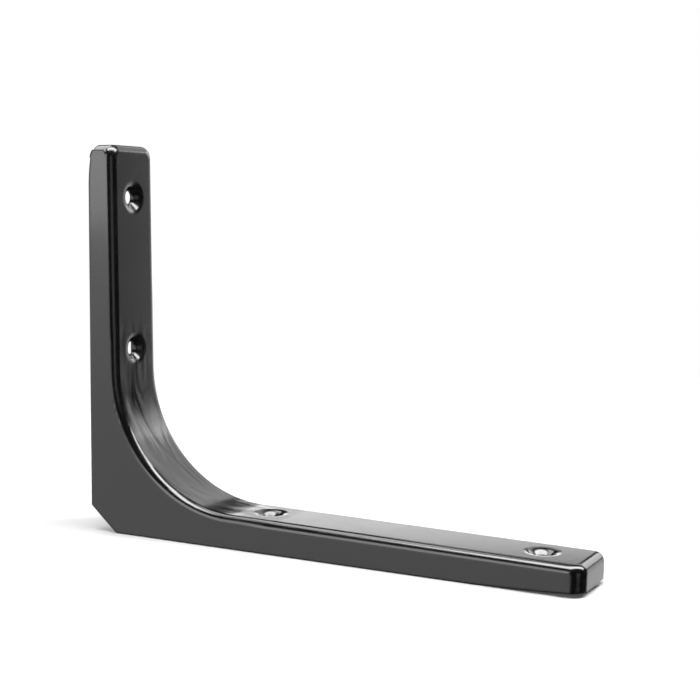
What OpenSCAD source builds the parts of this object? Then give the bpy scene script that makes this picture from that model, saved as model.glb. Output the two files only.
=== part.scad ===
// L-shaped shelf bracket pressed from one sheet of steel.
// It stands on its long arm, as in the photo: long arm along +X, short arm up along +Z.
// Each arm is a channel: a web on the inside of the L, and two side cheeks whose free
// edges lie on the wall plane (low X) and on the shelf plane (Z = 0).

/* [Overall size] */
// Height of the short arm, from the shelf plane to its tip
short_arm = 150; // [130:1:190]
// Length of the long arm, from the wall plane to its tip
long_arm = 200; // [180:1:260]
// Width over the two side cheeks
bracket_width = 27.4; // [26:0.1:32]
// Depth of the channel at the tip of each arm
tip_depth = 10.8; // [9.5:0.1:13]
// How much each arm tapers towards its tip, degrees
taper = 0.7; // [0:0.1:1.4]
// Thickness of the sheet
sheet = 1.2; // [1:0.1:1.5]

/* [Bends] */
// Outer radius of the bend between the web and the cheeks
fold_radius = 3.2; // [2.4:0.1:3.8]
// Outer radius of the upright corners at each closed tip
corner_radius = 4.9; // [4.2:0.1:5.4]
// Radius of the web's sweep between the two arms
sweep_radius = 52; // [45:1:60]

/* [Heel] */
// Height at which the heel's slanted edge leaves the wall plane
heel_height = 10; // [6:0.5:14]
// Distance along the shelf plane at which the slanted edge ends
heel_length = 11.8; // [6:0.2:16]

/* [Screw dimples] */
// Diameter of each screw hole
hole_diameter = 5.5; // [4.5:0.1:6]
// Diameter over the outside of each pressed dimple
dimple_diameter = 13.2; // [12.4:0.1:14]
// Slope of the dimple's cone from the web's face, degrees
dimple_slope = 42; // [38:1:44]
// Radius of the rounded rim of each dimple
dimple_rim_radius = 3.8; // [3.5:0.1:4.4]
// Tip of the short arm to its first hole
short_tip_to_hole = 20; // [17:0.5:24]
// Distance between the two holes of the short arm
short_hole_spacing = 58.8; // [45:0.2:60]
// Tip of the long arm to its first hole
long_tip_to_hole = 18.8; // [17:0.2:24]
// Distance between the two holes of the long arm
long_hole_spacing = 107.6; // [90:0.2:108]

/* [Free edges at the tips] */
// How far the long arm's free edge has risen at its tip
long_edge_rise = 1.7; // [1:0.1:2.4]
// Length over which the long arm's free edge rises
long_rise_run = 49; // [30:1:60]
// How far the short arm's free edge has drawn back near its tip
short_edge_rise = 0.9; // [0.5:0.1:1.4]
// Length over which the short arm's free edge draws back
short_rise_run = 11; // [8:1:16]
// Length of the ear left at the short arm's tip
ear_length = 5.1; // [4.9:0.1:6]
// Step from the drawn-back edge out to the ear
ear_step = 0.3; // [0.2:0.1:0.4]
// Radius of the ear's rounded top
ear_radius = 4.4; // [4.2:0.1:4.8]
// Length of the ear along the cheek
ear_reach = 7.3; // [6:0.1:8]
// How far the flat of the ear stops short of the tip
ear_drop = 2; // [1.3:0.1:2.4]
// Distance from the wall plane to the short tip's end wall
end_wall_back = 1.8; // [1.4:0.1:3.6]
// How far the long tip's end wall reaches past the edge beside it
tongue_drop = 0.85; // [0.4:0.05:1]
// Distance of the tongue's lowest corner from the middle of the end wall
tongue_side = 5.8; // [4:0.1:7]

/* [Hidden] */
$fn = 96;

half_width = bracket_width / 2;
clear = 1;                          // how far a cutting shape runs past what it cuts
inner_fold = fold_radius - sheet;
corner_y = half_width - corner_radius;

// The web's line on each arm lies this far from the corner of the two planes,
// measured square to the web.
short_line = tip_depth * cos(taper) + short_arm * sin(taper);
long_line = tip_depth * cos(taper) + long_arm * sin(taper);

// Centre of the sweep, touching both web lines
turn = cos(2 * taper);
sweep_x = ((short_line + sweep_radius) * cos(taper) - (long_line + sweep_radius) * sin(taper)) / turn;
sweep_z = ((long_line + sweep_radius) * cos(taper) - (short_line + sweep_radius) * sin(taper)) / turn;

// How far along each arm its straight run begins
short_start = sweep_z - sweep_radius * sin(taper);
long_start = sweep_x - sweep_radius * sin(taper);

// Straight length of an arm of the given height, up to the outside of its end wall
function run_length(height, start) =
    (height - start - fold_radius * (1 - sin(taper))) / cos(taper) + fold_radius;

arm_reach = 2 * tip_depth;                              // cheeks run past the planes, then are trimmed
sweep_reach = norm([sweep_x, sweep_z]) - sweep_radius + clear;
sweep_overlap = 1;                                      // degrees that each half runs past the middle
half_turn = 45 - taper + sweep_overlap;

// Dimple: a rounded rim, then a cone that runs in past the hole's wall
rim = dimple_diameter / 2;
rim_inner = dimple_rim_radius - sheet;
hole_radius = hole_diameter / 2;
cone_overrun = 0.5;                                     // how far the cone runs in past the hole's wall
cone_length = (rim - rim_inner * sin(dimple_slope) - hole_radius + cone_overrun) / cos(dimple_slope);
hole_depth = (rim - hole_radius) * tan(dimple_slope)
    - dimple_rim_radius * (1 / cos(dimple_slope) - 1);

short_holes = [short_arm - short_tip_to_hole, short_arm - short_tip_to_hole - short_hole_spacing];
long_holes = [long_arm - long_tip_to_hole, long_arm - long_tip_to_hole - long_hole_spacing];

// Free edges
long_rise_start = long_arm - long_rise_run;
long_rise_radius = (pow(long_rise_run, 2) + pow(long_edge_rise, 2)) / (2 * long_edge_rise);
ear_start = short_arm - ear_length;
short_rise_start = ear_start - short_rise_run;
short_rise_radius = (pow(short_rise_run, 2) + pow(short_edge_rise, 2)) / (2 * short_edge_rise);
ear_back = short_edge_rise - ear_step;
trim_depth = arm_reach;                                 // wide enough to hold either arm's channel
tongue_ease = 0.25;                                     // share of the tongue's drop at its middle
arc_sides = 720;                                        // for the long shallow arcs

bracket();

// The whole pressed piece
module bracket() {
    color([0.05, 0.05, 0.055])
    translate([-long_arm / 2, 0, 0])
    difference() {
        intersection() {
            union() {
                pressed_channel();
                ears();
            }
            trimmed_outline();
        }
        screw_holes();
    }
}

// Both arms, each with its half of the sweep, before the free edges are trimmed
module pressed_channel() {
    translate([sweep_x, 0, sweep_z])
    union() {
        arm(run_length(short_arm, short_start), short_start, short_holes);
        swap_planes() arm(run_length(long_arm, long_start), long_start, long_holes);
    }
}

// Swaps X and Z, which turns the upright arm into the level one
module swap_planes() {
    mirror([1, 0, -1]) children();
}

// One arm, from the sweep's centre: half the sweep, then the straight channel with its
// closed tip and two dimples let into the web
module arm(run, start, holes) {
    rotate([0, -taper, 0])
    union() {
        sweep_half();
        translate([-sweep_radius, 0, 0]) straight_channel(run - corner_radius, start, holes);
    }
}

// The straight channel from the sweep to the tip
module straight_channel(straight, start, holes) {
    union() {
        difference() {
            linear_extrude(height = straight) channel_section(arm_reach);
            for (hole = holes)
                at_hole(hole, start)
                translate([0, 0, -sheet - clear]) cylinder(r = rim, h = sheet + 2 * clear);
        }
        for (hole = holes)
            at_hole(hole, start) rotate_extrude() dimple_section();
        translate([0, 0, straight]) closed_tip(arm_reach);
    }
}

// Moves to a hole on the web, with local Z out of the web's face
module at_hole(hole, start) {
    along = (hole - start + hole_depth * sin(taper)) / cos(taper);
    translate([0, 0, along]) rotate([0, 90, 0]) children();
}

// Section of the channel: X out of the web's face, Y across
module channel_section(reach) {
    fold_y = half_width - fold_radius;
    translate([-sheet, -fold_y]) square([sheet, 2 * fold_y]);
    for (side = [0, 1])
        mirror([0, side]) {
            translate([-fold_radius, fold_y]) quarter_band(fold_radius, inner_fold);
            translate([-reach, half_width - sheet]) square([reach - fold_radius, sheet]);
        }
}

// A quarter of a ring, in the corner where X and Y are positive
module quarter_band(outer, inner) {
    intersection() {
        difference() {
            circle(r = outer);
            circle(r = inner);
        }
        square(outer + clear);
    }
}

// The channel swept round from the start of an arm to just past the middle of the heel
module sweep_half() {
    rotate([90, 0, 0])
    rotate([0, 0, 180])
    rotate_extrude(angle = half_turn)
    translate([sweep_radius, 0]) mirror([1, 0]) channel_section(sweep_reach);
}

// The closed end: end wall, and an upright corner at each side of it
module closed_tip(reach) {
    rotate([0, -90, 0])
    rotate([90, 0, 0])
    linear_extrude(height = 2 * corner_y, center = true)
    mirror([0, 1]) edge_section(reach);
    for (side = [0, 1])
        mirror([0, side, 0])
        translate([0, corner_y, 0])
        rotate([0, 90, 0])
        rotate([0, 0, 90])
        rotate_extrude(angle = 90) edge_section(reach);
}

// Section from a corner's centre outwards: web, bend, then wall; Y out of the web's face
module edge_section(reach) {
    fold_x = corner_radius - fold_radius;
    translate([0, -sheet]) square([fold_x, sheet]);
    translate([fold_x, -fold_radius]) quarter_band(fold_radius, inner_fold);
    translate([corner_radius - sheet, -reach]) square([sheet, reach - fold_radius]);
}

// Half section of a dimple: rounded rim, then a cone down to the hole
module dimple_section() {
    intersection() {
        translate([0, -rim]) square([rim, rim + clear]);
        translate([rim, -dimple_rim_radius])
        rotate([0, 0, dimple_slope])
        union() {
            quarter_band(dimple_rim_radius, rim_inner);
            translate([-cone_length, rim_inner]) square([cone_length, sheet]);
        }
    }
}

// Screw holes, square to the wall plane and to the shelf plane
module screw_holes() {
    for (hole = short_holes)
        translate([0, 0, hole]) rotate([0, 90, 0]) cylinder(r = hole_radius, h = trim_depth);
    for (hole = long_holes)
        translate([hole, 0, 0]) cylinder(r = hole_radius, h = trim_depth);
}

// What stays of the channel: side outline, and the tongue under the long tip's end wall
module trimmed_outline() {
    union() {
        rotate([90, 0, 0])
        linear_extrude(height = bracket_width + 2 * clear, center = true) side_outline();
        tongue();
    }
}

// Side view, X along the long arm and Y up the short one
module side_outline() {
    polygon([
        [heel_length, 0],
        [long_rise_start, 0],
        [long_rise_start, short_rise_start],
        [0, short_rise_start],
        [0, heel_height]
    ]);
    // the long arm's free edge rises along a shallow arc
    intersection() {
        translate([long_rise_start, -clear]) square([long_rise_run + clear, trim_depth + clear]);
        translate([long_rise_start, long_rise_radius]) circle(r = long_rise_radius, $fn = arc_sides);
    }
    // the short arm's free edge draws back along an arc, then steps out to the ear
    intersection() {
        translate([-clear, short_rise_start]) square([trim_depth + clear, short_rise_run]);
        translate([short_rise_radius, short_rise_start]) circle(r = short_rise_radius, $fn = arc_sides);
    }
    // the ear's rounded top
    intersection() {
        translate([ear_back + ear_radius, ear_start]) circle(r = ear_radius);
        translate([0, ear_start]) square(trim_depth);
    }
    // what lies further in, up to the tip's end wall
    translate([end_wall_back, ear_start]) square([trim_depth - end_wall_back, ear_length + clear]);
}

// The long tip's end wall hangs a little lower, in a tongue that slopes to one side
module tongue() {
    top = long_edge_rise + clear;
    translate([long_arm - sheet - clear, 0, 0])
    rotate([90, 0, 90])
    linear_extrude(height = sheet + 2 * clear)
    polygon([
        [-corner_y, top],
        [-corner_y, long_edge_rise],
        [0, long_edge_rise - tongue_ease * tongue_drop],
        [tongue_side, long_edge_rise - tongue_drop],
        [tongue_side, top]
    ]);
}

// Flat lobes that carry the cheeks' faces up past the short tip's rounded corners
module ears() {
    for (side = [0, 1])
        mirror([0, side, 0])
        translate([0, half_width, 0])
        rotate([90, 0, 0])
        linear_extrude(height = sheet)
        intersection() {
            translate([ear_back, ear_start]) circle(r = ear_reach);
            translate([-ear_reach, 0]) square([2 * ear_reach + sheet, short_arm - ear_drop]);
        }
}
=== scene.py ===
"""Dresses the pressed shelf bracket in its black powder coat, and sets up the studio around it."""

import logging
import math
from dataclasses import dataclass, field
from enum import Enum
from typing import Dict, List, Optional, Tuple, Union

import bpy
from mathutils import Matrix, Quaternion, Vector

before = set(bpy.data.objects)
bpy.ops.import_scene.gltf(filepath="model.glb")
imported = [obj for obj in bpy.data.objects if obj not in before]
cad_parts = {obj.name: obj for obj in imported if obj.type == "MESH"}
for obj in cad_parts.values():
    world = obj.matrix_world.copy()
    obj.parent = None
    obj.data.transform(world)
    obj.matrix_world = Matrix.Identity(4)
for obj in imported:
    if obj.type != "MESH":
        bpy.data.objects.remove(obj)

LOG = logging.getLogger("bracket")
MM = 0.001
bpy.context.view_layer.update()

Point = Tuple[float, float, float]
Colour = Tuple[float, float, float]
Band = Tuple[float, float]


class Signal:
    """A shader socket that can be written in Python expressions."""

    def __init__(self, graph: "Graph", socket: bpy.types.NodeSocket) -> None:
        """Keeps the socket and the graph it belongs to.

        Args:
            graph: the graph that adds the nodes an expression needs.
            socket: the output socket that carries the value.
        """
        self.graph = graph
        self.socket = socket

    def __add__(self, other: "Operand") -> "Signal":
        """Returns the sum."""
        return self.graph.math("ADD", self, other)

    def __radd__(self, other: "Operand") -> "Signal":
        """Returns the sum."""
        return self.graph.math("ADD", other, self)

    def __sub__(self, other: "Operand") -> "Signal":
        """Returns the difference."""
        return self.graph.math("SUBTRACT", self, other)

    def __rsub__(self, other: "Operand") -> "Signal":
        """Returns the difference, with the other value first."""
        return self.graph.math("SUBTRACT", other, self)

    def __mul__(self, other: "Operand") -> "Signal":
        """Returns the product."""
        return self.graph.math("MULTIPLY", self, other)

    def __rmul__(self, other: "Operand") -> "Signal":
        """Returns the product."""
        return self.graph.math("MULTIPLY", other, self)

    def ramp(self, low: float, high: float) -> "Signal":
        """Turns a stretch of the value into a smooth 0 to 1.

        Args:
            low: where the result is 0.
            high: where the result is 1.

        Returns:
            The eased value, held at 0 and 1 beyond the stretch.
        """
        made = self.graph.node(
            "ShaderNodeMapRange",
            {"interpolation_type": "SMOOTHSTEP"},
            {"Value": self, "From Min": low, "From Max": high},
        )
        return Signal(self.graph, made.outputs["Result"])


Operand = Union[Signal, float]


class Graph:
    """The node tree of one material or world, built through a few short calls."""

    def __init__(self, tree: bpy.types.NodeTree) -> None:
        """Empties the tree.

        Args:
            tree: the node tree to build in.
        """
        self.tree = tree
        tree.nodes.clear()

    def node(
        self,
        kind: str,
        settings: Optional[Dict[str, object]] = None,
        inputs: Optional[Dict[Union[str, int], object]] = None,
    ) -> bpy.types.Node:
        """Adds one node.

        Args:
            kind: the node's type name.
            settings: its own settings, which are set before its sockets.
            inputs: a value, a Signal or an output socket for each socket, by name or number.

        Returns:
            The new node.
        """
        made = self.tree.nodes.new(kind)
        for name, value in (settings or {}).items():
            setattr(made, name, value)
        for name, value in (inputs or {}).items():
            self.feed(made.inputs[name], value)
        return made

    def feed(self, socket: bpy.types.NodeSocket, value: object) -> None:
        """Sets or links one input socket.

        Args:
            socket: the input socket.
            value: a number, a tuple, a Signal or an output socket.
        """
        if isinstance(value, Signal):
            self.tree.links.new(value.socket, socket)
        elif isinstance(value, bpy.types.NodeSocket):
            self.tree.links.new(value, socket)
        else:
            socket.default_value = value

    def math(self, operation: str, first: Operand, second: Operand = 0.0) -> Signal:
        """Adds a Math node and returns its result."""
        made = self.node("ShaderNodeMath", {"operation": operation}, {0: first, 1: second})
        return Signal(self, made.outputs[0])

    def length(self, vector: object) -> Signal:
        """Adds a Vector Math node and returns the vector's length."""
        made = self.node("ShaderNodeVectorMath", {"operation": "LENGTH"}, {0: vector})
        return Signal(self, made.outputs["Value"])

    def blend(self, factor: Operand, dark: Colour, light: Colour) -> Signal:
        """Mixes two colours.

        Args:
            factor: 0 gives the first colour and 1 the second.
            dark: the first colour.
            light: the second colour.

        Returns:
            The mixed colour.
        """
        # a Mix node's colours are its inputs 6 and 7 and its output 2
        made = self.node(
            "ShaderNodeMix",
            {"data_type": "RGBA"},
            {"Factor": factor, 6: (*dark, 1.0), 7: (*light, 1.0)},
        )
        return Signal(self, made.outputs[2])

    def noise(self, place: Signal, scale: float, detail: float = 2.0, distortion: float = 0.0) -> Signal:
        """Adds a noise texture.

        Args:
            place: where the surface is, in metres.
            scale: how many features there are to a metre.
            detail: how many finer layers it has.
            distortion: how much it is warped.

        Returns:
            The noise, about 0.5.
        """
        made = self.node(
            "ShaderNodeTexNoise",
            {"noise_dimensions": "3D"},
            {"Vector": place, "Scale": scale, "Detail": detail, "Distortion": distortion},
        )
        return Signal(self, made.outputs["Fac"])


class Look(Enum):
    """The finishes in this scene."""

    POWDER_COAT = "powder_coat"
    FLOOR = "studio_floor"


@dataclass(frozen=True)
class PowderCoat:
    """Semi-gloss black powder coat on pressed steel."""

    # colour and gloss
    deep: Colour = (0.002, 0.002, 0.0021)
    thin: Colour = (0.009, 0.009, 0.0093)
    index: float = 1.55
    shine: float = 1.0
    smooth: float = 0.16
    rough: float = 0.23
    lacquer: float = 0.6
    lacquer_roughness: float = 0.10
    # clouds and grain: features to a metre, layers, and how much each one varies the coat
    cloud_per_metre: float = 60.0
    cloud_layers: float = 3.0
    cloud_band: Band = (0.35, 0.65)
    grain_per_metre: float = 5000.0
    grain_layers: float = 1.0
    colour_shares: Band = (0.15, 0.10)
    gloss_shares: Band = (0.60, 0.40)
    # orange peel, in metres, and the heights of the rest in shares of it
    peel_per_metre: float = 900.0
    peel_layers: float = 2.0
    peel_height: float = 0.000012
    grain_share: float = 0.15
    nibs_per_metre: float = 45.0
    nib_size: float = 0.016
    nib_share: float = 4.0
    # streaks left where the sheet was drawn round the sweep, whose centre is given in X and Z
    sweep_centre: Band = (-0.0362, 0.0645)
    sweep_radius: float = 0.052
    worked_depth: float = 0.004
    streaks_per_metre: float = 100.0
    streak_layers: float = 1.5
    streak_warp: float = 0.9
    draw_pull: float = 0.35
    wave_share: float = 52.0
    haze_band: Band = (0.42, 0.72)
    haze_roughness: float = 0.12
    # eased edges
    edge_radius: float = 0.0012
    edge_samples: int = 8

    def sweep_place(self, graph: Graph, place: Signal) -> Tuple[Signal, Signal, Signal]:
        """Finds where a point lies in the sweep between the arms.

        Args:
            graph: the material's graph.
            place: where the surface is, in metres.

        Returns:
            The distance round the sweep from its middle, the place across the sheet, and how
            far the point lies outside the sweep's radius.
        """
        axes = graph.node("ShaderNodeSeparateXYZ", None, {0: place})
        level, across, height = (Signal(graph, axes.outputs[name]) for name in "XYZ")
        level, height = level - self.sweep_centre[0], height - self.sweep_centre[1]
        reach = graph.math("SQRT", level * level + height * height)
        turn = graph.math("ARCTAN2", level - height, 0.0 - level - height)
        return turn * self.sweep_radius, across, reach - self.sweep_radius

    def streaks(self, graph: Graph, place: Signal) -> Tuple[Signal, Signal]:
        """Draws the streaks of the sweep.

        Args:
            graph: the material's graph.
            place: where the surface is, in metres.

        Returns:
            The streaks' height, and a mask that fades out along the straight arms.
        """
        along, across, depth = self.sweep_place(graph, place)
        drawn = graph.node("ShaderNodeCombineXYZ", None, {0: along * self.draw_pull, 1: across})
        height = graph.noise(
            Signal(graph, drawn.outputs[0]), self.streaks_per_metre, self.streak_layers, self.streak_warp
        )
        return height, 1.0 - depth.ramp(0.0, self.worked_depth)

    def nibs(self, graph: Graph, place: Signal) -> Signal:
        """Draws the few nibs caught in the coat.

        Args:
            graph: the material's graph.
            place: where the surface is, in metres.

        Returns:
            The nibs' height, 0 to 1.
        """
        cells = graph.node("ShaderNodeTexVoronoi", None, {"Vector": place, "Scale": self.nibs_per_metre})
        return 1.0 - Signal(graph, cells.outputs["Distance"]).ramp(0.0, self.nib_size)

    def material(self) -> bpy.types.Material:
        """Returns the finished material."""
        made = bpy.data.materials.new(Look.POWDER_COAT.value)
        made.use_nodes = True
        graph = Graph(made.node_tree)
        coordinates = graph.node("ShaderNodeTexCoord")
        place = Signal(graph, coordinates.outputs["Object"])
        clouds = graph.noise(place, self.cloud_per_metre, self.cloud_layers).ramp(*self.cloud_band)
        grain = graph.noise(place, self.grain_per_metre, self.grain_layers)
        peel = graph.noise(place, self.peel_per_metre, self.peel_layers)
        waves, worked = self.streaks(graph, place)
        haze = waves.ramp(*self.haze_band) * worked
        raised = peel + self.grain_share * grain + self.nib_share * self.nibs(graph, place)
        eased = graph.node(
            "ShaderNodeBevel", {"samples": self.edge_samples}, {"Radius": self.edge_radius}
        )
        bump = graph.node(
            "ShaderNodeBump",
            None,
            {
                "Distance": self.peel_height,
                "Height": raised + self.wave_share * waves * worked,
                "Normal": eased.outputs["Normal"],
            },
        )
        paleness = clouds * self.colour_shares[0] + grain * self.colour_shares[1] + haze
        dullness = clouds * self.gloss_shares[0] + grain * self.gloss_shares[1]
        shader = graph.node(
            "ShaderNodeBsdfPrincipled",
            None,
            {
                "Base Color": graph.blend(paleness, self.deep, self.thin),
                "Roughness": self.smooth
                + (self.rough - self.smooth) * dullness
                + self.haze_roughness * haze,
                "IOR": self.index,
                "Specular IOR Level": self.shine,
                "Coat Weight": self.lacquer,
                "Coat Roughness": self.lacquer_roughness,
                "Normal": bump.outputs["Normal"],
            },
        )
        graph.node("ShaderNodeOutputMaterial", None, {"Surface": shader.outputs["BSDF"]})
        return made


@dataclass(frozen=True)
class FloorFinish:
    """Plain pale studio floor."""

    paint: Colour = (1.0, 1.0, 1.0)
    # near the bracket this share of the floor is lit paint, which holds the shadow, and from the
    # far distance on, in metres, all of it is the plain background
    share: float = 0.95
    level: float = 1.0
    near: float = 0.22
    far: float = 0.60

    def material(self) -> bpy.types.Material:
        """Returns the finished material."""
        made = bpy.data.materials.new(Look.FLOOR.value)
        made.use_nodes = True
        graph = Graph(made.node_tree)
        place = graph.node("ShaderNodeNewGeometry").outputs["Position"]
        lit = self.share * (1.0 - graph.length(place).ramp(self.near, self.far))
        surface = graph.node("ShaderNodeBsdfDiffuse", None, {"Color": (*self.paint, 1.0)})
        glow = graph.node("ShaderNodeEmission", None, {"Strength": self.level})
        shown = graph.node(
            "ShaderNodeMixShader", None, {0: lit, 1: glow.outputs[0], 2: surface.outputs[0]}
        )
        paths = graph.node("ShaderNodeLightPath")
        either = graph.node(
            "ShaderNodeMixShader",
            None,
            {0: paths.outputs["Is Camera Ray"], 1: surface.outputs[0], 2: shown.outputs[0]},
        )
        graph.node("ShaderNodeOutputMaterial", None, {"Surface": either.outputs[0]})
        return made


@dataclass
class Bracket:
    """The pressed steel bracket, one sheet from tip to tip."""

    node: str = "bracket"
    finish: PowderCoat = field(default_factory=PowderCoat)

    def dress(self, nodes: Dict[str, bpy.types.Object]) -> bpy.types.Object:
        """Gives the CAD node its powder coat.

        Args:
            nodes: the CAD nodes by name.

        Returns:
            The dressed object.
        """
        body = nodes[self.node]
        body.data.materials.clear()
        body.data.materials.append(self.finish.material())
        return body


@dataclass
class SoftBox:
    """One rectangular studio lamp, aimed at the bracket."""

    name: str
    place: Point
    width: float
    height: float
    radiance: float
    turn: float = 0.0
    target: Point = (0.0, 0.0, 0.05)

    def build(self) -> bpy.types.Object:
        """Adds the lamp to the scene.

        Returns:
            The lamp object.
        """
        data = bpy.data.lights.new(self.name, "AREA")
        data.shape = "RECTANGLE"
        data.size = self.width
        data.size_y = self.height
        data.energy = self.radiance * math.pi * self.width * self.height
        lamp = bpy.data.objects.new(self.name, data)
        out = Vector(self.place) - Vector(self.target)
        aim = out.to_track_quat("Z", "Y")
        lamp.location = Vector(self.place)
        lamp.rotation_mode = "QUATERNION"
        lamp.rotation_quaternion = aim @ Quaternion((0.0, 0.0, 1.0), math.radians(self.turn))
        lamp.visible_camera = False
        bpy.context.scene.collection.objects.link(lamp)
        return lamp


@dataclass
class Camera:
    """The camera, at the photograph's place and angle."""

    place_mm: Point = (233.75, -439.24, 127.19)
    azimuth: float = 27.366
    pitch: float = 5.928
    roll: float = 0.567
    lens: float = 70.83
    clip: Band = (0.01, 50.0)

    def build(self) -> bpy.types.Object:
        """Adds the camera and makes it the scene's.

        Returns:
            The camera object.
        """
        turn, dip, lean = (math.radians(v) for v in (self.azimuth, self.pitch, self.roll))
        ahead = Vector((-math.sin(turn) * math.cos(dip), math.cos(turn) * math.cos(dip), -math.sin(dip)))
        right = Vector((math.cos(turn), math.sin(turn), 0.0))
        up = right.cross(ahead)
        across = math.cos(lean) * right + math.sin(lean) * up
        upward = math.cos(lean) * up - math.sin(lean) * right
        data = bpy.data.cameras.new("camera")
        data.lens = self.lens
        data.clip_start, data.clip_end = self.clip
        camera = bpy.data.objects.new("camera", data)
        camera.matrix_world = Matrix.Translation(Vector(self.place_mm) * MM) @ Matrix(
            [[across[i], upward[i], -ahead[i]] for i in range(3)]
        ).to_4x4()
        bpy.context.scene.collection.objects.link(camera)
        bpy.context.scene.camera = camera
        return camera


@dataclass(frozen=True)
class Surroundings:
    """What the bracket reflects beyond the lamps: a dim room, the pale table and a card.

    Each band is a stretch of a direction's X, Y or Z part over which one of them fades.
    """

    backdrop: Colour = (1.0, 1.0, 1.0)
    room: float = 0.018
    # the table, pale again behind the bracket, and fading below and at its far edges
    table_near: float = 0.57
    table_far: float = 0.85
    foot_band: Band = (-0.60, -0.28)
    behind_lean: float = 0.5
    behind_band: Band = (0.35, 0.75)
    near_side: Band = (-0.20, 0.10)
    near_top: Band = (-0.07, 0.02)
    near_lift: float = 0.5
    near_lift_band: Band = (-0.15, -0.04)
    far_side: Band = (0.50, 0.95)
    far_top: Band = (0.03, 0.14)
    # the card stands to the right of the camera
    card_light: float = 0.28
    card_way: Band = (0.82, 0.57)
    card_band: Band = (0.92, 1.0)

    def strength(self, graph: Graph) -> Signal:
        """Works out how bright the surroundings are in each direction.

        Args:
            graph: the world's graph.

        Returns:
            The brightness.
        """
        coordinates = graph.node("ShaderNodeTexCoord")
        axes = graph.node("ShaderNodeSeparateXYZ", None, {0: coordinates.outputs["Generated"]})
        across, away, up = (Signal(graph, axes.outputs[name]) for name in "XYZ")
        behind = (away - self.behind_lean * across).ramp(*self.behind_band)
        near = self.table_near * (1.0 + self.near_lift * up.ramp(*self.near_lift_band))
        near = near * (1.0 - across.ramp(*self.near_side)) * (1.0 - up.ramp(*self.near_top))
        far = self.table_far * (1.0 - across.ramp(*self.far_side)) * (1.0 - up.ramp(*self.far_top))
        table = up.ramp(*self.foot_band) * (near * (1.0 - behind) + far * behind)
        facing = self.card_way[0] * across - self.card_way[1] * away
        return self.room + table + self.card_light * facing.ramp(*self.card_band)

    def build(self) -> bpy.types.World:
        """Makes the world: plain white to the camera, the surroundings to everything else.

        Returns:
            The world.
        """
        world = bpy.data.worlds.new("studio")
        world.use_nodes = True
        graph = Graph(world.node_tree)
        paths = graph.node("ShaderNodeLightPath")
        seen = Signal(graph, paths.outputs["Is Camera Ray"])
        shown = seen + (1.0 - seen) * self.strength(graph)
        background = graph.node(
            "ShaderNodeBackground", None, {"Color": (*self.backdrop, 1.0), "Strength": shown}
        )
        graph.node("ShaderNodeOutputWorld", None, {"Surface": background.outputs["Background"]})
        bpy.context.scene.world = world
        return world


@dataclass
class Studio:
    """Pale floor, soft boxes and surroundings."""

    floor_size: float = 12.0
    finish: FloorFinish = field(default_factory=FloorFinish)
    surroundings: Surroundings = field(default_factory=Surroundings)
    lamps: List[SoftBox] = field(
        default_factory=lambda: [
            SoftBox("overhead", (0.50, 0.30, 1.05), 2.2, 0.50, 7.2, 40.0, (0.50, 0.30, 0.0)),
            SoftBox("left_high", (-0.60, 0.22, 0.96), 0.66, 0.60, 2.6, 0.0, (0.08, 0.0, 0.0)),
            SoftBox("front_left", (-0.58, -1.05, 0.38), 0.85, 0.58, 1.85),
            SoftBox("back_low", (-0.81, 1.50, 0.23), 1.05, 0.46, 1.7),
            SoftBox("back_right", (0.40, 1.55, 0.55), 0.92, 0.56, 1.7),
            SoftBox("back_high", (0.02, 1.20, 0.79), 1.25, 0.50, 0.85),
        ]
    )

    def build(self) -> None:
        """Adds the floor, the surroundings and the lamps."""
        self.build_floor()
        self.surroundings.build()
        for lamp in self.lamps:
            lamp.build()
        bpy.context.scene.view_settings.view_transform = "Standard"

    def build_floor(self) -> bpy.types.Object:
        """Adds the floor, which the bracket stands on.

        Returns:
            The floor object.
        """
        half = self.floor_size / 2
        mesh = bpy.data.meshes.new(Look.FLOOR.value)
        corners = [(-half, -half, 0.0), (half, -half, 0.0), (half, half, 0.0), (-half, half, 0.0)]
        mesh.from_pydata(corners, [], [(0, 1, 2, 3)])
        mesh.materials.append(self.finish.material())
        floor = bpy.data.objects.new(Look.FLOOR.value, mesh)
        floor.visible_glossy = False
        bpy.context.scene.collection.objects.link(floor)
        return floor


def main() -> None:
    """Builds the scene in order and reports the dressed bracket."""
    logging.basicConfig(level=logging.INFO, format="%(message)s")
    Camera().build()
    body = Bracket().dress(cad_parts)
    LOG.info("dressed %s, %d faces", body.name, len(body.data.polygons))
    Studio().build()


if __name__ == "__main__":
    main()
